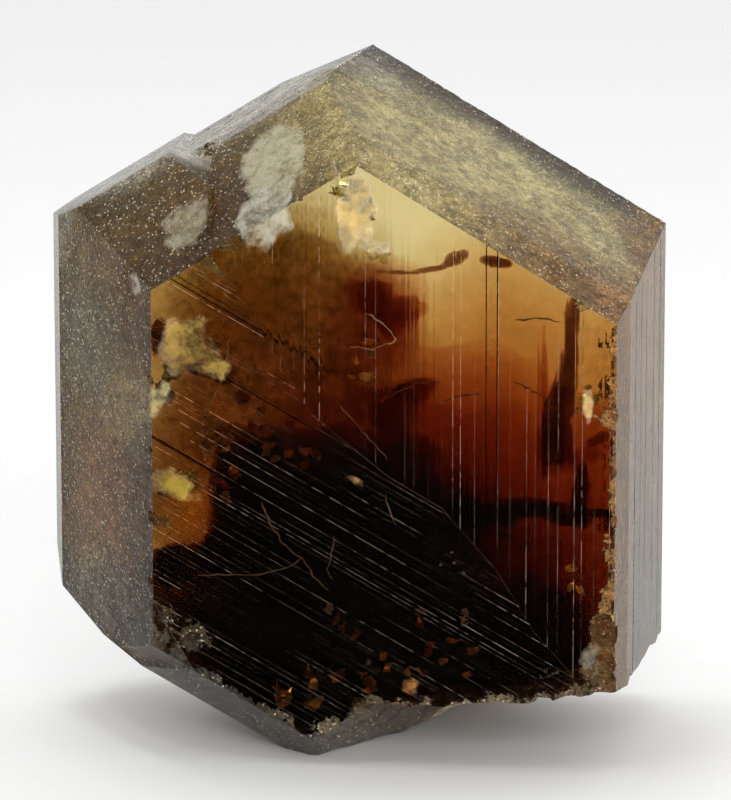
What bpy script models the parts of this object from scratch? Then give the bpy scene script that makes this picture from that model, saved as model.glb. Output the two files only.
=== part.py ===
# A chrysoberyl twin: two flat crystals grown through each other into one six-sided slab, with a
# re-entrant notch where they meet at the upper left and a broken base. The slab stands on edge:
# +Z is up, the broad striated face looks along -Y, and the shape is worked out in millimetres.

import math
import random

import bmesh
import bpy
from mathutils import Matrix, Vector, noise

# Driving dimensions, in millimetres.
crystalThickness = 14.5
hexCentreHeight = 15.0  # each side's distance is measured out from this height on the slab's axis
lowerIndividualProud = 0.12  # how far the lower individual stands out of the upper one
backFaceInset = 0.1  # how far the upper individual's back face stays inside the full thickness
grooveHalfWidth = 0.08
striationTilt = 29.0  # degrees below level, on the lower individual
stockSize = 80.0
stockBottom = -4.0  # the individuals are cut off here, below the base break
metresPerMillimetre = 0.001

frontY = -crystalThickness / 2
backY = crystalThickness / 2

# Each growth side of the outline: the direction that it faces (degrees from +X towards +Z), its distance
# from the axis at the front edge, and its facets as (depth where one starts, spread per millimetre of depth).
upperIndividual = {
    "right": (0.0, 12.12, ((0.0, 0.20), (2.0, 0.06), (12.0, -0.70))),
    "upperRight": (59.5, 10.26, ((0.0, 0.39), (2.0, 0.18), (12.0, -0.60))),
    "apex": (112.4, 13.76, ((0.0, 0.0),)),
    "upperLeft": (121.5, 9.12, ((0.0, 0.64), (5.5, 0.13), (11.0, -0.64))),
    "left": (180.0, 7.9, ((0.0, 0.77), (7.0, 0.20), (10.0, -0.70))),
    "lowerLeft": (241.0, 12.5, ((0.0, 0.62), (2.6, 0.0), (11.5, -0.62))),
}
lowerIndividual = {
    "right": (0.0, 12.05, ((0.0, 0.20), (2.0, 0.05), (12.0, -0.70))),
    "upperLeft": (121.5, 9.1, ((0.0, 0.79), (5.5, 0.04), (11.0, -0.70))),
    "left": (180.0, 7.95, ((0.0, 0.765), (7.0, 0.28), (10.0, -0.76))),
    "lowerLeftCorner": (210.0, 10.85, ((0.0, 1.0), (5.3, 0.0))),
    "lowerLeft": (241.0, 12.6, ((0.0, 0.68), (2.6, 0.0), (11.5, -0.65))),
}

# The lower individual's outline in X and Z: its own upper edge beside the notch, then the irregular seam.
seam = (
    (-24.0, 32.8),
    (-5.9, 24.85),
    (-5.5, 22.6),
    (-3.9, 20.4),
    (-2.3, 17.6),
    (-0.9, 15.5),
    (2.4, 12.9),
    (4.7, 11.6),
    (7.1, 8.9),
    (8.7, 6.3),
    (10.4, 4.4),
    (10.9, -6.0),
    (-24.0, -6.0),
)

# Grooves on each face: where the first and the last lie, how many, how deep the deepest is, and the seed.
frontStriations = {"upper": (-3.5, 12.0, 17, 0.05, 4), "lower": (-3.0, 18.5, 26, 0.05, 3)}
backStriations = {"upper": (-9.0, 11.5, 13, 0.07, 9), "lower": (-2.0, 18.0, 15, 0.07, 8)}
upperLeftStriations = (5.9, 10.8, 5, 0.12, 2)  # these two are given as depths behind the broad face
rightStriations = (2.5, 11.5, 5, 0.07, 6)

notchRight = -6.05  # the upper individual's step beside the re-entrant notch
notchDepth = 7.4
notchBottom = 20.0

# The ground-off patch that the crystal stands on, as X and depth behind the broad face.
restingPatch = ((-30.0, 0.9), (-1.2, 1.3), (2.3, 6.2), (4.8, 13.0), (4.8, 30.0), (-30.0, 30.0))
baseBreakSlope = 0.93
baseBreakHeight = 2.9
baseBreakRise = 0.085  # how much higher the break lies for each millimetre to the right
baseGridStep = 0.62
baseGridReach = (20.0, 10.0)

# Nicks along the exposed edges: X, depth, the lowest one's height, how many, their spacing, the scatter of
# their depth and height, and their smallest and largest radius.
edgeChips = (
    (12.2, 0.0, 5.0, 7, 2.1, 0.0, 0.6, 0.20, 0.38),
    (-8.0, 0.0, 8.0, 4, 3.2, 0.0, 0.8, 0.20, 0.34),
    (11.7, 0.15, 3.6, 6, 0.65, 0.35, 0.0, 0.50, 0.80),
    (-6.2, -0.15, 5.4, 1, 0.0, 0.0, 0.0, 0.50, 0.50),
    (1.2, 0.1, 2.6, 1, 0.0, 0.0, 0.0, 0.55, 0.55),
    (9.2, -0.1, 3.0, 1, 0.0, 0.0, 0.0, 0.60, 0.60),
)


def sideNormal(angle):
    return Vector((math.cos(math.radians(angle)), 0.0, math.sin(math.radians(angle))))


def facetPlanes(side):
    """The planes of one growth side, each as a point on it and its outward normal."""
    angle, distance, facets = side
    outward = sideNormal(angle)
    planes = []
    for index, (depth, spread) in enumerate(facets):
        point = Vector((0.0, frontY + depth, hexCentreHeight)) + outward * distance
        planes.append((point, (outward - Vector((0.0, spread, 0.0))).normalized()))
        if index + 1 < len(facets):
            distance += spread * (facets[index + 1][0] - depth)
    return planes


def cutAway(mesh, point, normal):
    """Cuts off what lies beyond the plane and closes the cut with a flat face."""
    parts = mesh.verts[:] + mesh.edges[:] + mesh.faces[:]
    cut = bmesh.ops.bisect_plane(
        mesh, geom=parts, dist=1e-5, plane_co=point, plane_no=normal, clear_outer=True
    )
    rim = [part for part in cut["geom_cut"] if isinstance(part, bmesh.types.BMEdge)]
    if rim:
        bmesh.ops.contextual_create(mesh, geom=rim)


def slab(sides, proud):
    """A closed crystal bounded by its growth faces, standing out by a small distance all round."""
    mesh = bmesh.new()
    bmesh.ops.create_cube(mesh, size=stockSize)
    planes = [
        (Vector((0.0, frontY - proud, 0.0)), Vector((0, -1, 0))),
        (Vector((0.0, backY - backFaceInset + proud, 0.0)), Vector((0, 1, 0))),
        (Vector((0.0, 0.0, stockBottom)), Vector((0, 0, -1))),
    ]
    for side in sides.values():
        planes += facetPlanes(side)
    for point, normal in planes:
        cutAway(mesh, point, normal)
    bmesh.ops.recalc_face_normals(mesh, faces=mesh.faces[:])
    return mesh


def groove(mesh, facing, across, position, depth):
    """A V-shaped groove in the flat face that faces this way, crossing it at a position along `across`."""
    for offset in (-grooveHalfWidth, grooveHalfWidth, 0.0):
        faces = [face for face in mesh.faces if face.normal.dot(facing) > 0.99]
        parts = {part for face in faces for part in (*face.verts, *face.edges)}
        cut = bmesh.ops.bisect_plane(
            mesh,
            geom=[*faces, *parts],
            dist=1e-5,
            plane_co=across * (position + offset),
            plane_no=across,
        )
    bottom = [part for part in cut["geom_cut"] if isinstance(part, bmesh.types.BMVert)]
    bmesh.ops.translate(mesh, verts=bottom, vec=-facing * depth)


def striate(mesh, facing, across, start, layout):
    """Parallel growth grooves at uneven spacing over one face, placed from `start` along `across`."""
    first, last, count, deepest, seed = layout
    chance = random.Random(seed)
    pitch = (last - first) / count
    for index in range(count):
        position = start + first + pitch * (index + chance.uniform(0.3, 0.7))
        groove(mesh, facing, across, position, deepest * chance.uniform(0.35, 1.0))


def objectOf(name, mesh):
    data = bpy.data.meshes.new(name)
    bmesh.ops.triangulate(mesh, faces=[face for face in mesh.faces if len(face.verts) > 4])
    bmesh.ops.recalc_face_normals(mesh, faces=mesh.faces[:])
    mesh.to_mesh(data)
    mesh.free()
    made = bpy.data.objects.new(name, data)
    bpy.context.scene.collection.objects.link(made)
    return made


def combine(target, other, operation):
    """Applies an exact Boolean to the target and removes the other object."""
    modifier = target.modifiers.new(operation.lower(), "BOOLEAN")
    modifier.operation = operation
    modifier.solver = "EXACT"
    modifier.object = other
    bpy.context.view_layer.update()
    graph = bpy.context.evaluated_depsgraph_get()
    result = bpy.data.meshes.new_from_object(target.evaluated_get(graph))
    target.modifiers.clear()
    target.data = result
    bpy.data.objects.remove(other)


def makeUpperIndividual():
    """The upper right individual: upright striations, and the hollow that becomes the re-entrant notch."""
    mesh = slab(upperIndividual, 0.0)
    sideways = Vector((1, 0, 0))
    striate(mesh, Vector((0, -1, 0)), sideways, 0.0, frontStriations["upper"])
    striate(mesh, Vector((0, 1, 0)), sideways, 0.0, backStriations["upper"])
    for side, layout in (("upperLeft", upperLeftStriations), ("right", rightStriations)):
        facing = facetPlanes(upperIndividual[side])[1][1]
        striate(mesh, facing, Vector((0, 1, 0)), frontY, layout)
    body = objectOf("twin_crystal", mesh)
    hollow = bmesh.new()
    bmesh.ops.create_cube(hollow, size=1.0)
    for vert in hollow.verts:
        vert.co.x = notchRight if vert.co.x > 0 else -stockSize / 2
        vert.co.y = frontY + notchDepth if vert.co.y > 0 else frontY - crystalThickness
        vert.co.z = stockSize / 2 if vert.co.z > 0 else notchBottom
    combine(body, objectOf("notch", hollow), "DIFFERENCE")
    return body


def makeLowerIndividual():
    """The lower left individual: striations at sixty degrees to the other's, ending at the seam."""
    mesh = slab(lowerIndividual, lowerIndividualProud)
    across = sideNormal(90.0 - striationTilt)
    striate(mesh, Vector((0, -1, 0)), across, 0.0, frontStriations["lower"])
    striate(mesh, Vector((0, 1, 0)), across, 0.0, backStriations["lower"])
    body = objectOf("lower_individual", mesh)
    outline = bmesh.new()
    corners = [outline.verts.new((x, frontY - crystalThickness, z)) for x, z in seam]
    face = outline.faces.new(corners)
    pushed = bmesh.ops.extrude_face_region(outline, geom=[face])["geom"]
    verts = [part for part in pushed if isinstance(part, bmesh.types.BMVert)]
    bmesh.ops.translate(outline, verts=verts, vec=(0.0, 3 * crystalThickness, 0.0))
    combine(body, objectOf("seam_outline", outline), "INTERSECT")
    return body


def distanceOutside(x, y, polygon):
    """How far a point lies outside a convex polygon whose corners run anticlockwise; 0 inside it."""
    farthest = 0.0
    for (ax, ay), (bx, by) in zip(polygon, polygon[1:] + polygon[:1]):
        length = math.hypot(bx - ax, by - ay)
        farthest = max(farthest, ((x - ax) * (by - ay) - (y - ay) * (bx - ax)) / length)
    return farthest


def breakHeight(x, depth):
    """The height of the broken base: flat on the resting patch, then rising to hackly ledges."""
    out = distanceOutside(x, depth, restingPatch)
    if out <= 0.0:
        return 0.0
    ceiling = baseBreakHeight + baseBreakRise * max(0.0, x - 4.0)
    ledge = min(out * baseBreakSlope, ceiling)
    coarse = noise.noise(Vector((x * 0.55, depth * 0.55, 3.1)))
    fine = noise.noise(Vector((x * 1.7, depth * 1.7, 8.4)))
    return max(0.0, ledge + min(1.0, out) * (0.32 * coarse + 0.2 * fine))


def makeBaseBreak():
    """The cutter below the broken base: a height field with flat sides and bottom."""
    halfWidth, halfDepth = baseGridReach
    columns, rows = round(2 * halfWidth / baseGridStep), round(2 * halfDepth / baseGridStep)
    mesh = bmesh.new()
    bmesh.ops.create_grid(mesh, x_segments=columns, y_segments=rows, size=1.0)
    bmesh.ops.scale(mesh, vec=(halfWidth, halfDepth, 1.0), verts=mesh.verts[:])
    bottom = bmesh.ops.extrude_face_region(mesh, geom=mesh.faces[:])["geom"]
    lowered = {part for part in bottom if isinstance(part, bmesh.types.BMVert)}
    for vert in mesh.verts:
        if vert in lowered:
            vert.co.z = breakHeight(vert.co.x, vert.co.y - frontY)
        else:
            vert.co.z = 2 * stockBottom
    bmesh.ops.triangulate(mesh, faces=mesh.faces[:])
    return objectOf("base_break", mesh)


def makeChips():
    """Small conchoidal nicks along the exposed edges, and the crumbled lower right corner."""
    chance = random.Random(21)
    tilt = Vector((1, 0.6, 0.3))
    chips = []
    for x, depth, lowest, count, spacing, depthScatter, heightScatter, smallest, largest in edgeChips:
        for index in range(count):
            y = frontY + depth + chance.uniform(-depthScatter, depthScatter)
            z = lowest + spacing * index + chance.uniform(-heightScatter, heightScatter)
            mesh = bmesh.new()
            bmesh.ops.create_icosphere(mesh, subdivisions=1, radius=chance.uniform(smallest, largest))
            turn = Matrix.Rotation(chance.uniform(0, math.pi), 3, tilt)
            bmesh.ops.rotate(mesh, verts=mesh.verts[:], matrix=turn)
            for vert in mesh.verts:
                vert.co = vert.co * chance.uniform(0.8, 1.2) + Vector((x, y, z))
            chips.append(objectOf("chip", mesh))
    return chips


def glassMaterial():
    """Amber-brown transparent crystal."""
    material = bpy.data.materials.new("chrysoberyl")
    material.use_nodes = True
    shader = material.node_tree.nodes["Principled BSDF"]
    shader.inputs["Base Color"].default_value = (0.28, 0.13, 0.035, 1.0)
    shader.inputs["Roughness"].default_value = 0.12
    shader.inputs["Metallic"].default_value = 0.0
    shader.inputs["IOR"].default_value = 1.75
    shader.inputs["Transmission Weight"].default_value = 0.6
    return material


def settleOnOrigin(crystal):
    """Puts the origin under the middle of the box and turns millimetres into metres."""
    mesh = crystal.data
    xs = [vert.co.x for vert in mesh.vertices]
    ys = [vert.co.y for vert in mesh.vertices]
    middle = Vector(((min(xs) + max(xs)) / 2, (min(ys) + max(ys)) / 2, 0.0))
    mesh.transform(Matrix.Scale(metresPerMillimetre, 4) @ Matrix.Translation(-middle))


def main():
    for old in list(bpy.data.objects):
        bpy.data.objects.remove(old)
    crystal = makeUpperIndividual()
    combine(crystal, makeLowerIndividual(), "UNION")
    combine(crystal, makeBaseBreak(), "DIFFERENCE")
    for chip in makeChips():
        combine(crystal, chip, "DIFFERENCE")
    settleOnOrigin(crystal)
    crystal.data.materials.clear()
    crystal.data.materials.append(glassMaterial())


main()
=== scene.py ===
import math
import random

import bmesh
import bpy
import numpy as np
from mathutils import Matrix, Vector, noise
from mathutils.bvhtree import BVHTree


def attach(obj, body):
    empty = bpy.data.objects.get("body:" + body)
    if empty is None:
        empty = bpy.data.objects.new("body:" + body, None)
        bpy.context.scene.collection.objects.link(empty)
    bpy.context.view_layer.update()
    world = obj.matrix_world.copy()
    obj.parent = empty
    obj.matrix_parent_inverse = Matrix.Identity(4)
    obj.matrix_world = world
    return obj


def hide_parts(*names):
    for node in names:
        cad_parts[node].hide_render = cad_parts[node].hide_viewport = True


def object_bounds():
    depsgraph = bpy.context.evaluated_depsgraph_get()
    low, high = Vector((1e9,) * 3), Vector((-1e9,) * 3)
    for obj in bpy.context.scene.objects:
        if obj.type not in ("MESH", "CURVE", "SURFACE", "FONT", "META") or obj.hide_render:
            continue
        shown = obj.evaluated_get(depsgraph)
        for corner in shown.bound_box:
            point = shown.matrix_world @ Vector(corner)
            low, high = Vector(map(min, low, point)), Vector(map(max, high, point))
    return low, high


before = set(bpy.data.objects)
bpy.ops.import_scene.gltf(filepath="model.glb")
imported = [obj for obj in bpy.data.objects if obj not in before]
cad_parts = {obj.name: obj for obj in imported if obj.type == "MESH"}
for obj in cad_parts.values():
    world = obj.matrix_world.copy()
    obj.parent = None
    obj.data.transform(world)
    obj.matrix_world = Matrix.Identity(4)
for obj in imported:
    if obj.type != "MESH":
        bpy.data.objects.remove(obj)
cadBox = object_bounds()
print("frame loaded")

toMm = 1000.0
frontY = cadBox[0].y * toMm  # the broad face of the lower individual
backY = cadBox[1].y * toMm
towardsFront = Vector((0, -1, 0))
hexCentre = Vector((0.53, 0.0, 15.0))
striationTilt = math.radians(29.0)  # the lower individual's striations, below level
acrossLower = Vector((math.sin(striationTilt), 0.0, math.cos(striationTilt)))
acrossUpper = Vector((1.0, 0.0, 0.0))


crystalLook = {
    "planeArea": 3.0,
    "grooveReach": 0.118,
    "frostedRings": 12,
    "frostedSpokes": 38,
    "frostedCuts": 5,
    "frostedRelief": 0.03,
    "fractureRelief": 0.1,
    "stripPitch": 0.16,
    "upperRelief": 0.006,
    "lowerRelief": 0.002,
    "crossPitch": 0.9,
    "scratchHalfWidth": 0.012,
    "scratchDepth": 0.004,
    "backScratches": 0.12,
    "upperScratches": 44,
    "lowerScratches": 84,
    "rimReach": 2.5,  # how far in from its edges a broad face still knows them
    "seamStep": 0.3,
    # chipped and bruised patches: middle, radius, depth and roughness
    "bruises": (
        ((-2.7, -6.0, 26.3), 2.3, 0.12, 0.16),
        ((-2.5, -7.2, 24.0), 1.3, 0.06, 0.12),
        ((-6.4, -6.8, 24.0), 2.2, 0.1, 0.14),
        ((1.2, -7.0, 25.0), 1.3, 0.04, 0.1),
        ((-8.6, -6.0, 20.8), 1.2, 0.06, 0.1),
        ((10.0, -6.6, 22.6), 1.3, 0.08, 0.12),
    ),
}


def copyInMillimetres(node):
    bm = bmesh.new()
    bm.from_mesh(node.data)
    bmesh.ops.scale(bm, vec=(toMm, toMm, toMm), verts=bm.verts[:])
    bmesh.ops.remove_doubles(bm, verts=bm.verts[:], dist=1e-3)
    bmesh.ops.dissolve_limit(bm, angle_limit=math.radians(0.5), verts=bm.verts[:], edges=bm.edges[:])
    bm.normal_update()
    return bm


def levelBroadFaces(bm):  # the copy's own coarse grooves give way to the fine ones below
    look = crystalLook
    planes = []
    for face in bm.faces:
        normal = face.normal.copy()
        reach = face.verts[0].co.dot(normal)
        if face.calc_area() > look["planeArea"] and normal.z > -0.3:
            if not any(normal.dot(other) > 0.9999 and abs(reach - way) < 0.01 for other, way in planes):
                planes.append((normal, reach))
    for vert in bm.verts:
        steps = [(reach - vert.co.dot(normal), normal) for normal, reach in planes]
        steps = [step for step in steps if any(face.normal.dot(step[1]) > 0.8 for face in vert.link_faces)]
        under = [step for step in steps if abs(step[1].y) > 0.99 and 1e-3 < step[0] < look["grooveReach"]]
        into, normal = min(under or [step for step in steps if step[0] > -1e-3] or [(0.0, towardsFront)], key=lambda step: step[0])
        if into < look["grooveReach"]:
            vert.co += normal * into
    bmesh.ops.dissolve_limit(bm, angle_limit=math.radians(0.5), verts=bm.verts[:], edges=bm.edges[:])
    bm.normal_update()


def kindOf(face):
    n = face.normal
    if face.calc_perimeter() < 3.4:
        return "broken"
    place = face.calc_center_median()
    if abs(n.y) > 0.96:
        lower = place.y < frontY + 0.07 or place.y > backY - 0.07
        return "broadLower" if lower else "broadUpper"
    side = math.degrees(math.atan2(n.z, n.x)) % 360.0
    spread = -n.y / math.hypot(n.x, n.z)
    if 235.0 < side < 250.0:
        return "satin"
    if 250.0 < side < 340.0:
        return "broken"
    if 115.0 < side < 128.0 and abs(spread) < 0.4:
        return "satin"
    if 45.0 < side < 75.0:
        return "frosted"
    if side < 25.0 or side > 340.0:
        return "prism" if abs(spread) < 0.4 else "frosted"
    return "frosted" if abs(spread) > 0.4 else "prism"


kinds = ("broken", "broadUpper", "broadLower", "frosted", "prism", "satin")


def facesOf(bm, layer, kind):
    wanted = kinds.index(kind)
    return [face for face in bm.faces if face[layer] == wanted]


def geometryOf(faces):
    return [*faces, *{edge for face in faces for edge in face.edges}, *{vert for face in faces for vert in face.verts}]


def cutAcross(bm, geometry, across, position):
    cut = bmesh.ops.bisect_plane(bm, geom=geometry, dist=1e-5, plane_co=across * position, plane_no=across)
    line = [part for part in cut["geom_cut"] if isinstance(part, bmesh.types.BMVert)]
    return cut["geom"], line


def spanOf(faces, across):
    reach = [vert.co.dot(across) for face in faces for vert in face.verts]
    return min(reach), max(reach)


def gridFrosted(bm, kindLayer):  # cells about a millimetre across, before the fine steps
    look = crystalLook
    geometry = geometryOf([face for kind in ("frosted", "prism", "satin") for face in facesOf(bm, kindLayer, kind)])
    for index in range(look["frostedRings"]):
        depth = frontY + (backY - frontY) * (index + 0.5) / look["frostedRings"]
        geometry, _ = cutAcross(bm, geometry, -towardsFront, depth)
    for index in range(look["frostedSpokes"]):
        turn = math.pi * (index + 0.37) / look["frostedSpokes"]
        spoke = Vector((math.sin(turn), 0.0, math.cos(turn)))
        geometry, _ = cutAcross(bm, geometry, spoke, spoke.dot(hexCentre))


def frostFacets(bm, kindLayer):
    look = crystalLook
    bmesh.ops.triangulate(bm, faces=[face for face in facesOf(bm, kindLayer, "frosted") if len(face.verts) > 4])
    edges = {edge for face in facesOf(bm, kindLayer, "frosted") for edge in face.edges if edge.calc_length() > 0.3}
    bmesh.ops.subdivide_edges(bm, edges=list(edges), cuts=look["frostedCuts"], use_grid_fill=True)
    rough = {vert for face in facesOf(bm, kindLayer, "frosted") for vert in face.verts}
    smooth = {vert for face in bm.faces if face[kindLayer] != kinds.index("frosted") for vert in face.verts}
    for vert in rough - smooth:
        place = vert.co
        pits = noise.noise(place * 3.4) + 0.6 * noise.noise(place * 7.1 + Vector((3, 8, 1)))
        swell = noise.noise(place * 0.9)
        vert.co += vert.normal * (look["frostedRelief"] * (pits + 0.5 * swell) - 0.012)
    print("frosted points", len(rough))


def stripe(bm, kindLayer, scratchLayer, kind, across, count, relief, seed):
    look = crystalLook
    chance = random.Random(seed)
    along = across.cross(towardsFront)
    faces = facesOf(bm, kindLayer, kind)
    low, high = spanOf(faces, across)
    start, end = spanOf(faces, along)
    heights = {}
    for index in range(count):
        position = round(low + (high - low) * (index + chance.uniform(0.25, 0.75)) / count, 3)
        strength = chance.uniform(0.25, 1.0) ** 1.3
        halfWidth = round(look["scratchHalfWidth"] * (0.5 + strength), 3)
        heights[round(position - halfWidth, 3)] = heights[round(position + halfWidth, 3)] = (0.0, 0.0)
        heights[position] = (0.0, strength)
    scratched = list(heights)
    for index in range(round((high - low) / look["stripPitch"])):
        position = round(low + look["stripPitch"] * (index + chance.uniform(0.2, 0.8)), 3)
        if min(abs(position - other) for other in scratched) > look["stripPitch"] / 4:
            heights[position] = (chance.uniform(-1, 1) * relief, 0.0)
    geometry = geometryOf(faces)
    for position in heights:
        geometry, _ = cutAcross(bm, geometry, across, position)
    crossings = round((end - start) / look["crossPitch"])
    for index in range(1, crossings):
        geometry, _ = cutAcross(bm, geometry, along, start + (end - start) * index / crossings)
    for vert in {part for part in geometry if isinstance(part, bmesh.types.BMVert)}:
        height, strength = heights.get(round(vert.co.dot(across), 3), (0.0, 0.0))
        outward = towardsFront if vert.co.y < 0 else -towardsFront
        way = Vector((vert.co.dot(across) * 13.0, vert.co.dot(along) * 0.22, seed + vert.co.y))
        run = noise.noise(way) * 1.6 + 0.65
        facing = 1.0 if vert.co.y < 0 else look["backScratches"]
        vert[scratchLayer] = min(1.0, max(0.0, run)) * strength * facing
        vert.co += outward * (height - look["scratchDepth"] * vert[scratchLayer])
    print(kind, "striated", len(geometry))


def broadEdges(bm, kindLayer):  # where a broad face meets the sloping ones, but not along the seam
    broad = (kinds.index("broadUpper"), kinds.index("broadLower"))
    lines = []
    for edge in bm.edges:
        others = [face for face in edge.link_faces if face[kindLayer] not in broad]
        if len(others) != 1:
            continue
        deepest = max(min(vert.co.y - frontY, backY - vert.co.y) for vert in others[0].verts)
        if deepest > crystalLook["seamStep"]:
            lines.append([tuple(vert.co) for vert in edge.verts])
    return lines


def measureRim(bm, kindLayer, rimLayer, lines):
    broad = (kinds.index("broadUpper"), kinds.index("broadLower"))
    verts = [vert for vert in bm.verts if any(face[kindLayer] in broad for face in vert.link_faces)]
    spots = np.array([vert.co for vert in verts])
    nearest = np.full(len(verts), crystalLook["rimReach"])
    for start, end in np.array(lines):
        way = end - start
        along = np.clip((spots - start) @ way / (way @ way), 0.0, 1.0)
        away = np.linalg.norm(spots - start - along[:, None] * way, axis=1)
        nearest = np.minimum(nearest, away)
    for vert in bm.verts:
        vert[rimLayer] = crystalLook["rimReach"]
    for vert, distance in zip(verts, nearest):
        vert[rimLayer] = distance


def bruise(bm):
    for middle, radius, depth, rough in crystalLook["bruises"]:
        middle = Vector(middle)
        for vert in bm.verts:
            away = (vert.co - middle).length / radius
            if away < 1.0 and vert.co.y < 0.0:
                flakes = noise.noise(vert.co * 2.6) + 0.7 * noise.noise(vert.co * 6.0)
                fade = 1.0 - away * away
                vert.co += vert.normal * fade * (rough * flakes - depth)


def splinter(bm, kindLayer):
    broken = facesOf(bm, kindLayer, "broken")
    edges = {edge for face in broken for edge in face.edges if edge.calc_length() > 0.25}
    bmesh.ops.subdivide_edges(bm, edges=list(edges), cuts=2, use_grid_fill=True)
    inside = {vert for face in facesOf(bm, kindLayer, "broken") for vert in face.verts}
    whole = {vert for face in bm.faces if face[kindLayer] != 0 for vert in face.verts}
    for vert in inside - whole:
        if vert.co.z > 0.1:
            ripple = noise.noise(vert.co * 2.3) + 0.5 * noise.noise(vert.co * 5.9)
            vert.co += vert.normal * crystalLook["fractureRelief"] * ripple
    print("broken surface", len(inside))


def pieceFrom(name, bm, material):
    mesh = bpy.data.meshes.new(name)
    bmesh.ops.triangulate(bm, faces=[face for face in bm.faces if len(face.verts) > 4])
    bmesh.ops.scale(bm, vec=(1 / toMm, 1 / toMm, 1 / toMm), verts=bm.verts[:])
    bm.to_mesh(mesh)
    bm.free()
    piece = bpy.data.objects.new(name, mesh)
    bpy.context.scene.collection.objects.link(piece)
    mesh.materials.append(material)
    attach(piece, "root")
    return piece


deep = 1000.0  # a reach that takes no notice of depth
glassColours = {
    "palest": (0.93, 0.9, 0.78, 0.1),
    # middle, reach, turn, softness and colour, from the palest to the darkest; the last number is how murky
    "zones": (
        ((8.0, 0.0, 13.0), (8.0, deep, 9.0), 0.0, 0.3, (0.85, 0.7, 0.5, 0.25)),
        ((-3.0, 0.0, 20.5), (5.4, deep, 3.6), 20.0, 0.4, (0.48, 0.34, 0.16, 1.0)),
        ((-2.5, 0.0, 15.0), (5.6, deep, 5.0), 30.0, 0.4, (0.4, 0.2, 0.09, 1.0)),
        ((1.0, 0.0, 7.5), (12.0, deep, 5.0), 12.0, 0.35, (0.24, 0.11, 0.06, 0.6)),
        ((-6.2, 0.0, 10.5), (1.4, deep, 2.6), 0.0, 0.4, (0.55, 0.28, 0.08, 0.6)),
        ((13.4, 0.0, 14.0), (1.4, deep, 14.0), 0.0, 0.3, (0.7, 0.46, 0.2, 0.7)),
        ((13.0, -6.4, 14.0), (1.6, 2.4, 14.0), 0.0, 0.4, (0.7, 0.42, 0.18, 0.5)),
    ),
    "scratch": (1.0, 0.86, 0.7, 1.0),
}
frostColours = {  # the last number of each colour is how deeply it is pitted
    "plain": (0.115, 0.068, 0.014, 1.0),
    "zones": (
        ((7.0, -3.0, 25.0), (9.0, 7.0, 4.8), 30.0, 0.5, (0.8, 0.68, 0.3, 0.5)),
        ((10.0, -6.0, 21.5), (4.6, 3.0, 2.2), 30.0, 0.6, (0.42, 0.26, 0.08, 0.7)),
        ((8.0, 6.8, 24.0), (30.0, 3.8, 30.0), 0.0, 0.3, (0.07, 0.045, 0.012, 1.0)),
        # painted highlight: the upper-left side faces lightened to near white where they catch the backlight
        ((-8.0, 3.4, 26.0), (9.0, 4.8, 7.0), 0.0, 0.3, (1.0, 1.0, 0.96, 0.3)),
        ((13.4, 2.0, 16.0), (1.4, 7.0, 12.0), 0.0, 0.4, (0.46, 0.23, 0.06, 0.8)),
        ((13.4, 2.0, 4.0), (1.6, 8.0, 7.0), 0.0, 0.7, (0.07, 0.065, 0.04, 1.0)),
        ((13.0, -6.2, 14.0), (1.6, 2.4, 14.0), 0.0, 0.4, (0.7, 0.36, 0.12, 1.0)),
        ((-11.0, -3.0, 17.6), (2.4, 4.0, 1.8), 0.0, 0.6, (0.09, 0.1, 0.06, 1.0)),
        ((-8.8, -6.0, 15.4), (1.8, 3.0, 1.6), 0.0, 0.6, (0.32, 0.28, 0.12, 1.0)),
        ((-10.4, -3.0, 9.8), (2.2, 5.0, 4.0), 0.0, 0.6, (0.2, 0.09, 0.03, 1.0)),
        ((-9.0, -4.0, 4.6), (5.0, 6.0, 3.0), 20.0, 0.5, (0.16, 0.15, 0.1, 1.0)),
        ((-4.0, 0.0, 1.0), (16.0, 12.0, 3.0), 28.0, 0.3, (0.14, 0.13, 0.1, 1.0)),
        ((6.0, 0.0, 2.0), (8.0, 12.0, 2.6), 0.0, 0.3, (0.5, 0.36, 0.22, 0.7)),
    ),
    "pit": (0.045, 0.03, 0.02, 1.0),
    # painted glint: colour of the bright specks that stand in for sparkle
    "painted_glint": (0.95, 0.86, 0.66, 1.0),
}
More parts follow.
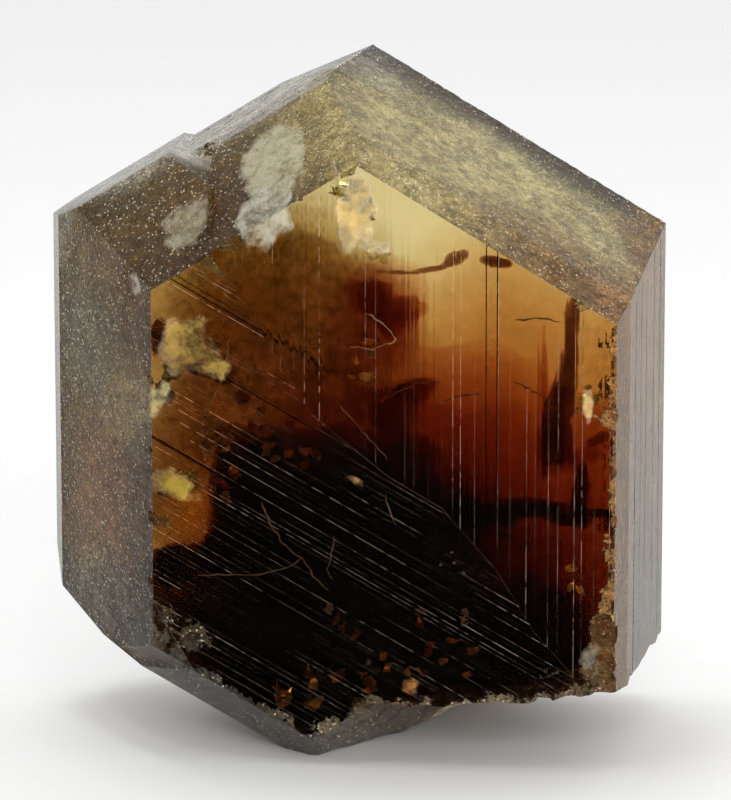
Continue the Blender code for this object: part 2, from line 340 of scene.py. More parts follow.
patchColours = {
    # middle, reach, turn, softness and colour of each bruise and chip, and of each flaw whose golden reflection is
    # painted in
    "pale": (
        ((-2.8, -6.0, 26.5), (1.9, 4.0, 2.1), 24.0, 0.16, (0.6, 0.58, 0.42, 1.0)),
        ((-2.6, -7.0, 24.2), (1.4, 2.0, 1.5), 0.0, 0.16, (0.68, 0.68, 0.54, 1.0)),
        ((-6.6, -7.0, 24.0), (2.4, 2.8, 1.7), -26.0, 0.2, (0.46, 0.43, 0.3, 1.0)),
        ((-5.2, -6.2, 26.0), (0.4, 1.6, 0.5), 0.0, 0.3, (0.85, 0.78, 0.45, 1.0)),
        ((-8.3, -7.0, 20.9), (0.5, 2.0, 0.6), 0.0, 0.5, (0.75, 0.77, 0.75, 1.0)),
        ((3.9, -7.0, 2.1), (1.6, 2.0, 0.45), -6.0, 0.5, (0.6, 0.38, 0.22, 1.0)),
        ((11.6, -7.2, 5.2), (0.5, 2.0, 0.8), 0.0, 0.7, (0.24, 0.22, 0.19, 1.0)),
    ),
    # painted reflection: golden flashes of fractures under the face, set into the base colour
    "golden": (
        ((1.5, -7.2, 24.5), (0.85, 1.0, 2.1), 12.0, 0.4, (0.86, 0.6, 0.17, 1.0)),
        ((2.1, -7.2, 22.7), (1.0, 1.0, 0.35), -20.0, 0.4, (0.8, 0.62, 0.22, 1.0)),
        ((-6.4, -7.2, 12.3), (1.3, 1.0, 0.7), 24.0, 0.4, (0.5, 0.36, 0.05, 1.0)),
        ((-7.1, -7.2, 16.2), (0.45, 1.0, 1.2), 14.0, 0.4, (0.6, 0.54, 0.22, 1.0)),
        ((-5.8, -7.2, 18.4), (1.3, 1.0, 1.5), 20.0, 0.3, (0.5, 0.34, 0.06, 1.0)),
        ((-4.4, -7.2, 17.4), (0.7, 1.0, 0.6), 0.0, 0.4, (0.6, 0.42, 0.1, 1.0)),
        ((9.9, -6.8, 22.7), (0.75, 1.6, 0.6), 30.0, 0.3, (0.7, 0.26, 0.06, 1.0)),
        ((11.5, -7.2, 16.4), (0.3, 1.0, 0.9), 0.0, 0.4, (0.8, 0.55, 0.2, 1.0)),
        ((1.6, -7.2, 12.6), (0.4, 1.0, 0.2), 20.0, 0.5, (0.6, 0.3, 0.06, 1.0)),
        ((4.0, -7.2, 3.6), (0.5, 1.0, 0.4), 0.0, 0.5, (0.5, 0.16, 0.03, 1.0)),
    ),
}


def within(spots, middle, reach, turn, softness):
    local = (spots - np.array(middle)) @ np.array(Matrix.Rotation(math.radians(turn), 3, "Y")) / np.array(reach)
    inside = np.clip((1.0 + softness - np.linalg.norm(local, axis=1)) / (2.0 * softness), 0.0, 1.0)
    return (inside * inside * (3.0 - 2.0 * inside))[:, None]


def pushedAbout(spots, scale, amount):
    return spots + amount * np.array([noise.noise_vector(Vector(spot) * scale) for spot in spots])


def paint(bm, layerName, spots, ground, zones, masked=False):
    tints = np.tile(np.array(ground), (len(spots), 1))
    mask = np.zeros((len(spots), 1))
    for middle, reach, turn, softness, colour in zones:
        part = within(spots, middle, reach, turn, softness)
        tints = tints * (1.0 - part) + np.array(colour) * part
        mask = np.maximum(mask, part)
    if masked:  # the last channel says how strongly the patch shows
        tints[:, 3:] = mask
    layer = bm.verts.layers.float_color.new(layerName)
    for vert, tint in zip(bm.verts, tints):
        vert[layer] = tint


def paintCrystal(bm):
    spots = np.array([vert.co for vert in bm.verts])
    cloudy = pushedAbout(spots, 0.3, 1.0)
    ragged = pushedAbout(spots, 1.3, 0.3)
    paint(bm, "glass_tint", cloudy, glassColours["palest"], glassColours["zones"])
    paint(bm, "frost_tint", cloudy, frostColours["plain"], frostColours["zones"])
    paint(bm, "pale_patch", ragged, (0.8, 0.8, 0.7, 0.0), patchColours["pale"], masked=True)
    paint(bm, "golden_patch", ragged, (0.8, 0.6, 0.2, 0.0), patchColours["golden"], masked=True)


def makeCrystal(material):
    bm = copyInMillimetres(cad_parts["twin_crystal"])
    levelBroadFaces(bm)
    kindLayer = bm.faces.layers.int.new("kind")
    scratchLayer = bm.verts.layers.float.new("scratch")
    for face in bm.faces:
        face[kindLayer] = kinds.index(kindOf(face))
    print("kinds", {kind: len(facesOf(bm, kindLayer, kind)) for kind in kinds})
    rimLines = broadEdges(bm, kindLayer)
    gridFrosted(bm, kindLayer)
    stripe(bm, kindLayer, scratchLayer, "broadUpper", acrossUpper, crystalLook["upperScratches"], crystalLook["upperRelief"], 5)
    stripe(bm, kindLayer, scratchLayer, "broadLower", acrossLower, crystalLook["lowerScratches"], crystalLook["lowerRelief"], 7)
    splinter(bm, kindLayer)
    frostFacets(bm, kindLayer)
    rimLayer = bm.verts.layers.float.new("rim")
    measureRim(bm, kindLayer, rimLayer, rimLines)
    bm.normal_update()
    bruise(bm)
    paintCrystal(bm)
    frostLayer = bm.faces.layers.float.new("frost")
    frostOf = {"broken": 0.7, "frosted": 1.0, "satin": 0.85, "prism": 0.65}
    for face in bm.faces:
        face[frostLayer] = frostOf.get(kinds[face[kindLayer]], 0.0)
    crystal = pieceFrom("twinned_crystal", bm, material)
    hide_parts("twin_crystal")
    print("crystal triangles", sum(len(face.vertices) - 2 for face in crystal.data.polygons))
    return crystal


def insidePlace(x, depth, z):  # behind the broad face
    return Vector((x, frontY + depth, z))


smokyBodies = {
    "detail": 4,
    "clearance": 0.3,  # to the crystal's own surface
    "feathered": ("amber_heart", "umber_heart", "rusty_heart", "smoky_core"),  # thin towards their edges
    "voxel": 0.32,
    "fineVoxel": 0.13,
    "crackEdge": -5.5,  # the core ends flat against a crack
    "crackFoot": 8.8,
    # middle as x, depth and height, half sizes in x, depth and height, turn in degrees, raggedness
    "amber_heart": (
        (7.4, 7.2, 10.6, 8.6, 6.8, 13.8, 0, 0.1),
    ),
    "umber_heart": (
        (-3.0, 6.6, 18.4, 7.8, 6.2, 6.6, 20, 0.3),
        (-6.2, 6.4, 12.4, 3.8, 6.0, 5.8, 0, 0.3),
    ),
    "rusty_heart": (
        (3.6, 7.6, 8.8, 11.0, 6.6, 10.0, -10, 0.26),
        (1.8, 6.4, 18.4, 2.6, 3.6, 4.2, 0, 0.3),
        (9.6, 6.6, 9.4, 5.8, 5.6, 7.4, 0, 0.3),
    ),
    "smoky_core": (
        (-0.4, 7.2, 6.6, 9.6, 6.6, 8.0, 26, 0.28),
        (6.8, 7.4, 4.4, 7.0, 4.6, 4.0, 6, 0.3),
    ),
    "dark_column": (
        (10.72, 3.4, 20.2, 0.2, 0.35, 1.3, 0, 0.5),
        (10.5, 3.5, 18.4, 0.34, 0.4, 1.9, -2, 0.4),
        (10.3, 3.6, 16.7, 0.46, 0.4, 2.0, 4, 0.4),
        (9.8, 3.8, 15.2, 0.5, 0.45, 1.7, 6, 0.4),
        (10.1, 3.8, 14.2, 0.5, 0.45, 1.1, 0, 0.5),
        (9.4, 4.0, 14.0, 0.3, 0.4, 1.3, 0, 0.5),
        (10.95, 4.0, 12.0, 0.42, 0.5, 1.3, 3, 0.4),
        (11.7, 4.2, 14.3, 0.6, 0.3, 0.26, -30, 0.5),
    ),
    "dark_band": (
        (6.6, 4.0, 10.9, 1.5, 0.6, 0.6, 4, 0.5),
        (8.6, 4.2, 11.2, 1.7, 0.7, 0.42, -3, 0.5),
        (10.4, 4.2, 10.9, 1.2, 0.5, 0.5, 4, 0.5),
        (12.0, 4.0, 11.1, 1.3, 0.5, 0.2, 2, 0.4),
        (5.4, 4.4, 10.6, 0.4, 0.5, 1.3, 14, 0.5),
    ),
    "dark_streak": (
        (2.9, 3.0, 21.5, 1.0, 0.3, 0.1, 2, 0.4),
        (4.5, 3.2, 21.65, 0.9, 0.3, 0.14, -10, 0.4),
        (5.5, 3.4, 22.1, 0.55, 0.4, 0.3, -35, 0.5),
        (7.3, 3.6, 22.0, 0.8, 0.4, 0.26, 8, 0.5),
    ),
    "dark_pockets": (
        (-7.3, 2.2, 18.5, 0.4, 0.4, 0.75, 0, 0.6),
        (-5.6, 2.4, 17.1, 0.5, 0.4, 0.26, 20, 0.6),
        (-4.4, 2.6, 16.8, 0.42, 0.4, 0.32, -10, 0.6),
        (-3.6, 2.8, 12.6, 0.9, 0.4, 0.2, 30, 0.6),
        (-7.0, 2.6, 8.3, 0.9, 0.8, 0.9, 0, 0.5),
    ),
    "brown_clouds": (
        (1.9, 4.5, 20.2, 1.0, 0.9, 0.8, 30, 0.6),
        (3.0, 4.4, 19.5, 1.15, 0.9, 0.7, -20, 0.6),
        (3.5, 5.0, 16.0, 1.25, 1.1, 0.62, -28, 0.3),
        (2.6, 5.2, 15.0, 1.1, 0.8, 1.0, 10, 0.4),
        (4.2, 5.0, 12.9, 0.3, 0.5, 1.3, 0, 0.5),
        (10.7, 4.4, 13.4, 1.5, 0.4, 0.5, -24, 0.4),
        (9.3, 4.4, 16.6, 0.2, 0.4, 2.4, 0, 0.5),
    ),
}


def crystalSkin():  # for telling what lies inside
    bm = copyInMillimetres(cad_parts["twin_crystal"])
    bmesh.ops.triangulate(bm, faces=bm.faces[:])
    skin = BVHTree.FromBMesh(bm)
    bm.free()
    return skin


def keepInside(bm, skin, gap):
    for vert in bm.verts:
        for _ in range(2):
            spot, normal, _, _ = skin.find_nearest(vert.co)
            if (vert.co - spot).dot(normal) > -gap:
                vert.co = spot - normal * gap


def joinParts(bm, voxel):  # overlapping parts become one closed body
    mesh = bpy.data.meshes.new("parts")
    bm.to_mesh(mesh)
    bm.free()
    carrier = bpy.data.objects.new("parts", mesh)
    bpy.context.scene.collection.objects.link(carrier)
    join = carrier.modifiers.new("join", "REMESH")
    join.mode = "VOXEL"
    join.voxel_size = voxel
    joined = bmesh.new()
    joined.from_object(carrier, bpy.context.evaluated_depsgraph_get())
    bpy.data.objects.remove(carrier)
    return joined


def makeBodies(name, material, skin, seed):
    look = smokyBodies
    feathered = name in look["feathered"]
    bm = bmesh.new()
    for index, (x, depth, z, halfX, halfY, halfZ, turn, ragged) in enumerate(look[name]):
        verts = bmesh.ops.create_icosphere(bm, subdivisions=look["detail"], radius=1.0)["verts"]
        for vert in verts:
            way = vert.co * 1.6 + Vector((seed, index * 7.0, 0.0))
            if not feathered:
                way.z = vert.co.z * halfZ / halfX
            swell = noise.noise(way) + 0.6 * noise.noise(way * 2.7) + 0.3 * noise.noise(way * 6.0)
            if feathered:
                vert.co.y *= max(0.02, 1.0 - vert.co.x ** 2 - vert.co.z ** 2)
            vert.co *= 1.0 + ragged * swell
        bmesh.ops.scale(bm, vec=(halfX, halfY, halfZ), verts=verts)
        bmesh.ops.rotate(bm, matrix=Matrix.Rotation(math.radians(turn), 3, "Y"), verts=verts)
        bmesh.ops.translate(bm, vec=insidePlace(x, depth, z), verts=verts)
    if len(look[name]) > 1:
        bm = joinParts(bm, look["voxel"] if feathered else look["fineVoxel"])
    if name == "smoky_core":
        for vert in bm.verts:
            if vert.co.z > look["crackFoot"]:
                vert.co.x = max(vert.co.x, look["crackEdge"] + 0.5 * noise.noise(vert.co * 0.9))
    keepInside(bm, skin, look["clearance"])
    print(name, len(bm.faces))
    return pieceFrom(name, bm, material)


flakes = {
    "corners": 9,
    "bend": 0.35,
    "thickness": 0.02,
    "clearance": 0.08,
    # middle as x, depth and height, size, how many and how far they scatter in x and in height
    "gold_flakes": (
        (1.0, 1.2, 25.2, 0.42, 10, 0.4, 1.0),
        (1.9, 1.1, 24.2, 0.36, 8, 0.3, 0.8),
        (0.2, 1.4, 26.0, 0.3, 5, 0.4, 0.5),
        (2.0, 1.6, 22.4, 0.42, 4, 0.8, 0.2),
        (-6.3, 1.2, 12.2, 0.5, 14, 0.8, 0.4),
        (-4.6, 1.6, 14.4, 0.3, 5, 0.5, 0.9),
        (11.3, 1.4, 16.4, 0.3, 6, 0.4, 0.9),
    ),
    "olive_flakes": (
        (-7.0, 1.2, 16.3, 0.72, 3, 0.15, 0.5),
        (-6.6, 1.2, 16.9, 0.6, 2, 0.2, 0.2),
        (-5.6, 1.6, 18.6, 0.7, 5, 0.8, 0.7),
        (-4.6, 1.4, 17.6, 0.4, 4, 0.7, 0.7),
    ),
    "ember_flakes": (
        (-3.0, 1.4, 15.4, 0.4, 7, 0.7, 1.0),
        (-1.2, 1.6, 14.0, 0.36, 9, 1.4, 1.2),
        (-4.2, 1.4, 12.0, 0.4, 5, 0.5, 0.6),
        (2.6, 1.6, 6.0, 0.3, 8, 2.4, 0.9),
    ),
    "pale_chips": (
        (0.35, 0.12, 6.95, 0.2, 4, 0.12, 0.1),
        (6.25, 0.12, 6.9, 0.2, 5, 0.12, 0.5),
        (2.1, 0.12, 4.7, 0.16, 3, 0.12, 0.12),
        (-6.0, 0.3, 5.4, 0.2, 3, 0.15, 0.2),
        (5.2, 0.12, 9.2, 0.1, 4, 1.0, 0.6),
        (9.8, 0.12, 4.4, 0.14, 5, 0.5, 0.2),
    ),
    "amber_flakes": (
        (-4.6, 2.8, 14.6, 0.5, 5, 0.7, 0.9),
        (1.4, 2.4, 17.6, 0.3, 6, 0.6, 1.0),
        (4.4, 1.4, 5.0, 0.3, 9, 2.2, 0.9),
        (0.6, 1.4, 3.6, 0.4, 8, 1.6, 0.4),
        (-1.2, 1.0, 2.9, 0.42, 8, 0.9, 0.3),
        (11.0, 1.4, 8.6, 0.28, 4, 0.3, 0.7),
    ),
}


def makeFlakes(name, material, skin, seed):
    look = flakes
    chance = random.Random(seed)
    bm = bmesh.new()
    for x, depth, z, size, count, scatterX, scatterZ in look[name]:
        for _ in range(count):
            made = bmesh.ops.create_circle(bm, cap_ends=True, segments=look["corners"], radius=1.0)["verts"]
            for vert in made:
                vert.co *= size * chance.uniform(0.45, 1.25)
                vert.co.x *= 0.6
                vert.co.z += look["bend"] * vert.co.y * vert.co.y / size
            spin = Matrix.Rotation(chance.uniform(0, math.pi), 3, "Z")
            lean = Matrix.Rotation(math.radians(chance.uniform(38, 62)), 3, "X")
            turn = Matrix.Rotation(math.radians(chance.uniform(-35, 35)), 3, "Z") @ lean @ spin
            bmesh.ops.rotate(bm, matrix=turn, verts=made)
            place = insidePlace(
                x + chance.uniform(-scatterX, scatterX),
                depth + chance.uniform(-0.6, 0.6),
                z + chance.uniform(-scatterZ, scatterZ),
            )
            bmesh.ops.translate(bm, vec=place, verts=made)
    keepInside(bm, skin, look["clearance"])
    bmesh.ops.triangulate(bm, faces=bm.faces[:])
    bmesh.ops.solidify(bm, geom=bm.faces[:], thickness=look["thickness"])
    bmesh.ops.recalc_face_normals(bm, faces=bm.faces[:])
    return pieceFrom(name, bm, material)


veins = {
    "steps": 6,  # points between two corners
    "jitter": 0.05,
    "clearance": 0.06,
    # depth behind the broad face, thickness, then the corners as x and height
    "pale_cracks": (
        (0.4, 0.035, ((-3.98, 18.7), (-4.1, 17.8), (-4.3, 16.9), (-4.7, 16.05), (-5.2, 15.2), (-5.26, 14.4), (-5.05, 13.4))),
        (0.3, 0.035, ((-2.6, 11.6), (-2.2, 10.55), (-1.6, 9.7), (-0.84, 9.2), (-0.4, 8.5), (0.24, 7.8))),
        (0.3, 0.02, ((-0.84, 9.2), (-1.4, 8.8), (-2.9, 8.36), (-5.4, 8.3))),
        (0.3, 0.02, ((0.55, 10.2), (0.24, 8.7), (0.46, 8.3))),
        (0.2, 0.02, ((2.75, 12.1), (3.2, 10.8))),
        (0.15, 0.025, ((0.8, 15.9), (1.7, 14.9), (2.2, 14.4), (2.84, 13.65))),
        (0.2, 0.025, ((-5.2, 22.3), (-4.7, 21.6), (-4.2, 21.5))),
        (0.2, 0.02, ((-5.4, 21.9), (-4.6, 21.0), (-3.6, 20.2))),
        (0.8, 0.025, ((1.9, 19.9), (2.6, 19.5), (3.2, 18.8), (2.2, 18.35), (1.2, 18.44))),
    ),
    "brown_arcs": (
        (3.0, 0.04, ((2.4, 15.9), (3.9, 16.7), (4.9, 16.8))),
        (3.2, 0.04, ((4.9, 15.8), (5.8, 16.2), (6.8, 16.3))),
        (3.0, 0.05, ((8.0, 16.9), (9.2, 16.4), (9.8, 15.8))),
        (2.6, 0.04, ((8.2, 19.6), (9.2, 19.7), (10.1, 19.6))),
    ),
}


def makeVeins(name, material, skin, seed):  # healed cracks, drawn as thin jagged threads
    look = veins
    chance = random.Random(seed)
    data = bpy.data.curves.new(name, "CURVE")
    data.dimensions = "3D"
    data.bevel_depth = 1.0
    data.bevel_resolution = 1
    data.use_fill_caps = True
    for depth, thickness, corners in look[name]:
        spots = []
        for (x, z), (nextX, nextZ) in zip(corners, corners[1:]):
            for step in range(look["steps"]):
                part = step / look["steps"]
                spots.append(insidePlace(x + (nextX - x) * part, depth, z + (nextZ - z) * part))
        spots.append(insidePlace(corners[-1][0], depth, corners[-1][1]))
        line = data.splines.new("POLY")
        line.points.add(len(spots) - 1)
        for index, (point, spot) in enumerate(zip(line.points, spots)):
            scatter = Vector([chance.uniform(-1.0, 1.0) * look["jitter"] for _ in range(3)])
            point.co = (*(spot + scatter), 1.0)
            ends = min(1.0, 0.35 + 0.4 * min(index, len(spots) - 1 - index))
            point.radius = thickness * ends * chance.uniform(0.4, 1.2)
    drawn = bpy.data.objects.new(name, data)
    bm = bmesh.new()
    bm.from_mesh(drawn.to_mesh())
    bpy.data.objects.remove(drawn)
    keepInside(bm, skin, look["clearance"])
    return pieceFrom(name, bm, material)


def newMaterial(name):
    material = bpy.data.materials.new(name)
    material.use_nodes = True
    tree = material.node_tree
    return material, tree, tree.nodes["Principled BSDF"]


def node(tree, kind, inputs=(), **settings):
    made = tree.nodes.new("ShaderNode" + kind)
    for key, value in settings.items():
        setattr(made, key, value)
    for key, value in dict(inputs).items():
        if isinstance(value, bpy.types.NodeSocket):
            tree.links.new(value, made.inputs[key])
        else:
            made.inputs[key].default_value = value
    return made


def math2(tree, operation, first, second=0.0, clamp=False):
    return node(tree, "Math", {0: first, 1: second}, operation=operation, use_clamp=clamp).outputs[0]


def mixColour(tree, factor, first, second):
    made = node(tree, "Mix", data_type="RGBA")
    for index, value in ((0, factor), (6, first), (7, second)):
        if isinstance(value, bpy.types.NodeSocket):
            tree.links.new(value, made.inputs[index])
        else:
            made.inputs[index].default_value = value
    return made.outputs[2]


def mixNumber(tree, factor, first, second):
    made = node(tree, "Mix", data_type="FLOAT")
    for index, value in ((0, factor), (2, first), (3, second)):
        if isinstance(value, bpy.types.NodeSocket):
            tree.links.new(value, made.inputs[index])
        else:
            made.inputs[index].default_value = value
    return made.outputs[0]


def fade(tree, value, first, last):
    return node(tree, "MapRange", {"Value": value, "From Min": first, "From Max": last}).outputs["Result"]


def crystalMaterial():
    material, tree, shader = newMaterial("chrysoberyl")
    place = node(tree, "TexCoord").outputs["Object"]
    read = {name: node(tree, "Attribute", attribute_name=name) for name in (
        "scratch", "frost", "rim", "glass_tint", "frost_tint", "pale_patch", "golden_patch",
    )}
    fine = node(tree, "TexNoise", {"Vector": place, "Scale": 2600.0, "Detail": 1.0}).outputs["Fac"]
    cloud = node(tree, "TexNoise", {"Vector": place, "Scale": 850.0, "Detail": 4.0, "Roughness": 0.7}).outputs["Fac"]
    scratch = math2(tree, "MULTIPLY", read["scratch"].outputs["Fac"], fade(tree, fine, 0.32, 0.54))

    # frost creeps in over the broad faces' edges, unevenly
    inside = math2(tree, "SUBTRACT", fade(tree, cloud, 0.42, 0.75), read["rim"].outputs["Fac"])
    frost = math2(tree, "MAXIMUM", read["frost"].outputs["Fac"], fade(tree, inside, 0.0, 0.1))
    grain = node(tree, "TexVoronoi", {"Vector": place, "Scale": 10500.0})
    chance = node(tree, "SeparateColor", {"Color": grain.outputs["Color"]})
    rugged = node(tree, "TexNoise", {"Vector": place, "Scale": 6200.0, "Detail": 1.0}).outputs["Fac"]
    contour = math2(tree, "ABSOLUTE", math2(tree, "SUBTRACT", cloud, 0.47))
    threads = math2(tree, "MULTIPLY", fade(tree, contour, 0.016, 0.006), 0.85)
    pitted = math2(tree, "MULTIPLY", fade(tree, chance.outputs["Red"], 0.4, 0.1), 0.8)
    pitted = math2(tree, "MAXIMUM", pitted, threads)
    pitted = math2(tree, "MULTIPLY", pitted, read["frost_tint"].outputs["Alpha"])
    # painted glints: a few grains of the frost lightened and made less clear, standing in for sparkle from the lights
    painted_glint = math2(tree, "MULTIPLY", fade(tree, chance.outputs["Green"], 0.84, 0.94), frost)
    painted_glint = math2(tree, "MULTIPLY", painted_glint, fade(tree, grain.outputs["Distance"], 0.62, 0.3))
    crumbs = math2(tree, "ADD", cloud, math2(tree, "MULTIPLY", fine, 0.6))
    pale = fade(tree, math2(tree, "ADD", read["pale_patch"].outputs["Alpha"], crumbs), 1.32, 1.9)
    # golden patches are painted reflections from fractures, mottled by the cloud
    golden = math2(tree, "ADD", read["golden_patch"].outputs["Alpha"], crumbs)
    golden = math2(tree, "MULTIPLY", fade(tree, golden, 1.4, 1.8), 0.85)

    murk = math2(tree, "MULTIPLY", fade(tree, crumbs, 0.95, 0.62), read["glass_tint"].outputs["Alpha"])
    murky = node(tree, "HueSaturation", {"Color": read["glass_tint"].outputs["Color"]})
    tree.links.new(mixNumber(tree, murk, 1.05, 0.4), murky.inputs["Value"])
    glass = mixColour(tree, scratch, murky.outputs["Color"], glassColours["scratch"])
    grainy = node(tree, "HueSaturation", {"Color": read["frost_tint"].outputs["Color"]})
    tree.links.new(mixNumber(tree, fade(tree, crumbs, 0.62, 0.98), 0.55, 1.5), grainy.inputs["Value"])
    frosted = mixColour(tree, pitted, grainy.outputs["Color"], frostColours["pit"])
    frosted = mixColour(tree, math2(tree, "MULTIPLY", painted_glint, 0.85), frosted, frostColours["painted_glint"])
    colour = mixColour(tree, frost, glass, frosted)
    colour = mixColour(tree, pale, colour, read["pale_patch"].outputs["Color"])
    paintedGleam = node(tree, "HueSaturation", {"Color": read["golden_patch"].outputs["Color"]})
    tree.links.new(mixNumber(tree, fade(tree, cloud, 0.4, 0.62), 0.35, 1.2), paintedGleam.inputs["Value"])
    colour = mixColour(tree, golden, colour, paintedGleam.outputs["Color"])
    tree.links.new(colour, shader.inputs["Base Color"])

    roughness = mixNumber(tree, pale, mixNumber(tree, frost, 0.03, 0.3), 0.45)
    roughness = mixNumber(tree, golden, roughness, 0.4)
    tree.links.new(mixNumber(tree, scratch, roughness, 0.5), shader.inputs["Roughness"])
    clearness = mixNumber(tree, painted_glint, mixNumber(tree, frost, 1.0, 0.7), 0.2)
    clearness = mixNumber(tree, golden, mixNumber(tree, pale, clearness, 0.4), 0.35)
    tree.links.new(mixNumber(tree, scratch, clearness, 0.6), shader.inputs["Transmission Weight"])
    shader.inputs["IOR"].default_value = 1.75
    shader.inputs["Specular Tint"].default_value = (0.02, 0.018, 0.012, 1.0)

    height = math2(tree, "ADD", math2(tree, "MULTIPLY", grain.outputs["Distance"], 0.7), rugged)
    height = math2(tree, "MULTIPLY", height, frost)
    bump = node(tree, "Bump", {"Height": height, "Strength": 1.0, "Distance": 0.0001})
    tree.links.new(bump.outputs["Normal"], shader.inputs["Normal"])
    volume = node(tree, "VolumeAbsorption", {"Color": (0.778, 0.645, 0.111, 1.0), "Density": 90.0})
    tree.links.new(volume.outputs["Volume"], tree.nodes["Material Output"].inputs["Volume"])
    return material


def smokyMaterial(name, colour, density):  # no surface of its own, only a deeper colour
    material, tree, shader = newMaterial(name)
    shader.inputs["Base Color"].default_value = (1.0, 1.0, 1.0, 1.0)
    shader.inputs["Roughness"].default_value = 0.0
    shader.inputs["IOR"].default_value = 1.0
    shader.inputs["Transmission Weight"].default_value = 1.0
    volume = node(tree, "VolumeAbsorption", {"Color": colour, "Density": density})
    tree.links.new(volume.outputs["Volume"], tree.nodes["Material Output"].inputs["Volume"])
    return material


def inclusionMaterial(name, dark, light, roughness, scale, metallic=0.0):
    material, tree, shader = newMaterial(name)
    shader.inputs["Metallic"].default_value = metallic
    place = node(tree, "TexCoord").outputs["Object"]
    cloud = node(tree, "TexNoise", {"Vector": place, "Scale": scale, "Detail": 4.0}).outputs["Fac"]
    spread = node(tree, "MapRange", {"Value": cloud, "From Min": 0.38, "From Max": 0.66}).outputs["Result"]
    tree.links.new(mixColour(tree, spread, dark, light), shader.inputs["Base Color"])
    tree.links.new(mixNumber(tree, spread, roughness, roughness * 0.6), shader.inputs["Roughness"])
    bump = node(tree, "Bump", {"Height": cloud, "Strength": 0.6, "Distance": 0.0001})
    tree.links.new(bump.outputs["Normal"], shader.inputs["Normal"])
    return material


def plainMaterial(name, colour, roughness):
    material, _, shader = newMaterial(name)
    shader.inputs["Base Color"].default_value = colour
    shader.inputs["Roughness"].default_value = roughness
    return material


def makeFloor():
    bm = bmesh.new()
    bmesh.ops.create_grid(bm, x_segments=1, y_segments=1, size=1.5)
    mesh = bpy.data.meshes.new("studio_floor")
    bm.to_mesh(mesh)
    bm.free()
    floor = bpy.data.objects.new("studio_floor", mesh)
    bpy.context.scene.collection.objects.link(floor)
    mesh.materials.append(plainMaterial("floor_white", (0.9, 0.9, 0.9, 1.0), 0.7))
    return floor


def makeLight(name, place, target, size, power, colour=(1.0, 1.0, 1.0)):
    lamp = bpy.data.lights.new(name, "AREA")
    lamp.shape = "RECTANGLE"
    lamp.size, lamp.size_y = size
    lamp.energy = power
    lamp.color = colour
    light = bpy.data.objects.new(name, lamp)
    light.location = place
    light.rotation_euler = (Vector(target) - Vector(place)).to_track_quat("-Z", "Y").to_euler()
    bpy.context.scene.collection.objects.link(light)


worldLook = {"behind": 0.8, "inFront": 0.3, "backdrop": 1.0}


def makeWorld():  # a bright tent behind and above, dim on the camera's side
    world = bpy.data.worlds.new("studio")
    world.use_nodes = True
    tree = world.node_tree
    background = tree.nodes["Background"]
    background.inputs["Color"].default_value = (1.0, 1.0, 1.0, 1.0)
    way = node(tree, "TexCoord").outputs["Generated"]
    apart = node(tree, "SeparateXYZ", {"Vector": way})
    lift = math2(tree, "MULTIPLY_ADD", apart.outputs["Z"], 0.8)
    lift.node.inputs[2].default_value = 0.0
    rise = math2(tree, "ADD", apart.outputs["Y"], lift)
    ramp = node(tree, "MapRange", {"Value": rise, "From Min": -0.6, "From Max": 0.6}, interpolation_type="SMOOTHSTEP")
    ramp.inputs["To Min"].default_value = worldLook["inFront"]
    ramp.inputs["To Max"].default_value = worldLook["behind"]
    seen = node(tree, "LightPath").outputs["Is Camera Ray"]
    tree.links.new(mixNumber(tree, seen, ramp.outputs["Result"], worldLook["backdrop"]), background.inputs["Strength"])
    bpy.context.scene.world = world


cameraLook = {
    "azimuth": math.radians(8.2),
    "elevation": math.radians(11.4),
    "distance": 0.230,
    "aim": (0.00087, 0.0, 0.01475),
    "lens": 257.0,
}


def makeCamera():
    look = cameraLook
    flat = math.cos(look["elevation"])
    back = Vector(
        (math.sin(look["azimuth"]) * flat, -math.cos(look["azimuth"]) * flat, math.sin(look["elevation"]))
    )
    data = bpy.data.cameras.new("camera")
    data.sensor_fit = "HORIZONTAL"
    data.sensor_width = 36.0
    data.lens = look["lens"]
    data.clip_start = 0.01
    camera = bpy.data.objects.new("camera", data)
    camera.location = Vector(look["aim"]) + back * look["distance"]
    camera.rotation_euler = back.to_track_quat("Z", "Y").to_euler()
    bpy.context.scene.collection.objects.link(camera)
    bpy.context.scene.camera = camera


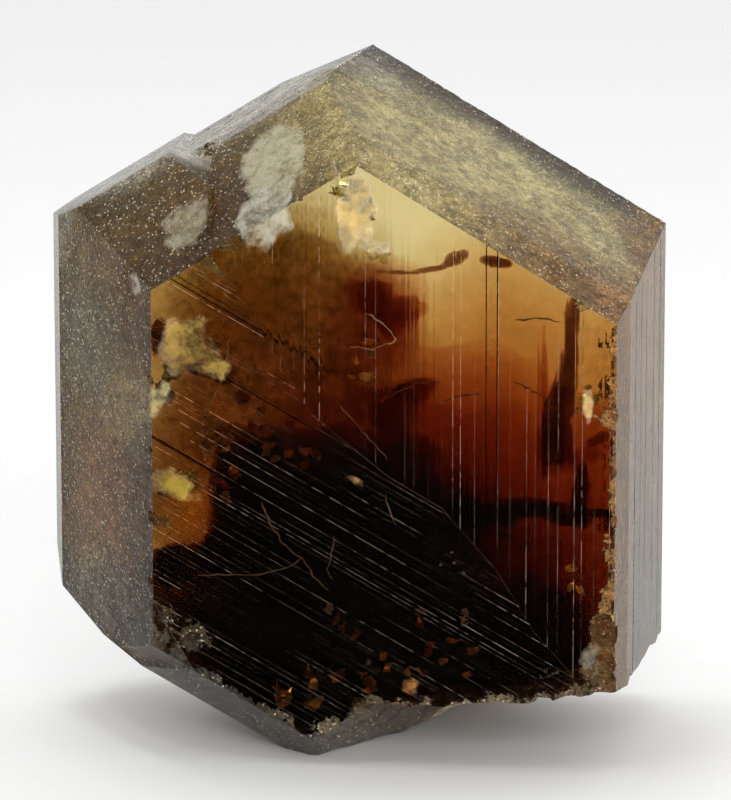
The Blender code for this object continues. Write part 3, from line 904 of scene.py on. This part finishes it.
makeCrystal(crystalMaterial())
skin = crystalSkin()
makeBodies("amber_heart", smokyMaterial("amber_zone", (0.75, 0.45, 0.05, 1.0), 270.0), skin, 1)
makeBodies("umber_heart", smokyMaterial("umber_zone", (0.68, 0.48, 0.15, 1.0), 330.0), skin, 11)
makeBodies("rusty_heart", smokyMaterial("rusty_zone", (0.7, 0.3, 0.05, 1.0), 500.0), skin, 2)
makeBodies("smoky_core", smokyMaterial("smoky_zone", (0.5, 0.2, 0.1, 1.0), 1400.0), skin, 3)
smoke = smokyMaterial("smoky_inclusion", (0.5, 0.25, 0.1, 1.0), 5200.0)
for seed, name in enumerate(("dark_column", "dark_band", "dark_streak", "dark_pockets")):
    makeBodies(name, smoke, skin, seed)
makeBodies("brown_clouds", smokyMaterial("brown_inclusion", (0.72, 0.3, 0.05, 1.0), 2400.0), skin, 5)
gold = inclusionMaterial("golden_fracture", (0.85, 0.6, 0.16, 1.0), (1.0, 0.88, 0.5, 1.0), 0.3, 1500.0, 1.0)
olive = inclusionMaterial("olive_fracture", (0.6, 0.54, 0.2, 1.0), (0.95, 0.9, 0.55, 1.0), 0.35, 1500.0, 1.0)
amber = inclusionMaterial("amber_fracture", (0.8, 0.36, 0.08, 1.0), (1.0, 0.66, 0.25, 1.0), 0.35, 1500.0, 1.0)
makeFlakes("gold_flakes", gold, skin, 3)
makeFlakes("olive_flakes", olive, skin, 8)
makeFlakes("amber_flakes", amber, skin, 4)
ember = inclusionMaterial("ember_fracture", (0.3, 0.06, 0.015, 1.0), (0.6, 0.2, 0.05, 1.0), 0.4, 1500.0, 1.0)
makeFlakes("ember_flakes", ember, skin, 6)
makeFlakes("pale_chips", inclusionMaterial("chip", (0.12, 0.1, 0.08, 1.0), (0.5, 0.47, 0.42, 1.0), 0.6, 5000.0), skin, 2)
makeVeins("pale_cracks", inclusionMaterial("crack", (0.45, 0.38, 0.28, 1.0), (1.0, 0.95, 0.85, 1.0), 0.5, 3000.0), skin, 6)
makeVeins("brown_arcs", inclusionMaterial("arc", (0.05, 0.02, 0.006, 1.0), (0.12, 0.05, 0.015, 1.0), 0.6, 3000.0), skin, 9)
print("inclusions made")
makeFloor()
makeWorld()
makeLight("back_softbox", (0.12, 0.55, 0.55), (0.0, 0.15, 0.0), (1.4, 0.8), 1.4)
makeLight("overhead_lamp", (-0.03, 0.03, 0.25), (0.0, 0.0, 0.0), (0.08, 0.08), 0.12)
makeLight("front_strip", (-0.08, -0.12, 0.3), (0.0, 0.0, 0.015), (0.05, 0.02), 0.05)
makeLight("front_fill", (0.16, -0.4, 0.17), (0.0, 0.0, 0.0), (0.4, 0.2), 1.3)
makeCamera()
bpy.context.scene.view_settings.view_transform = "Standard"
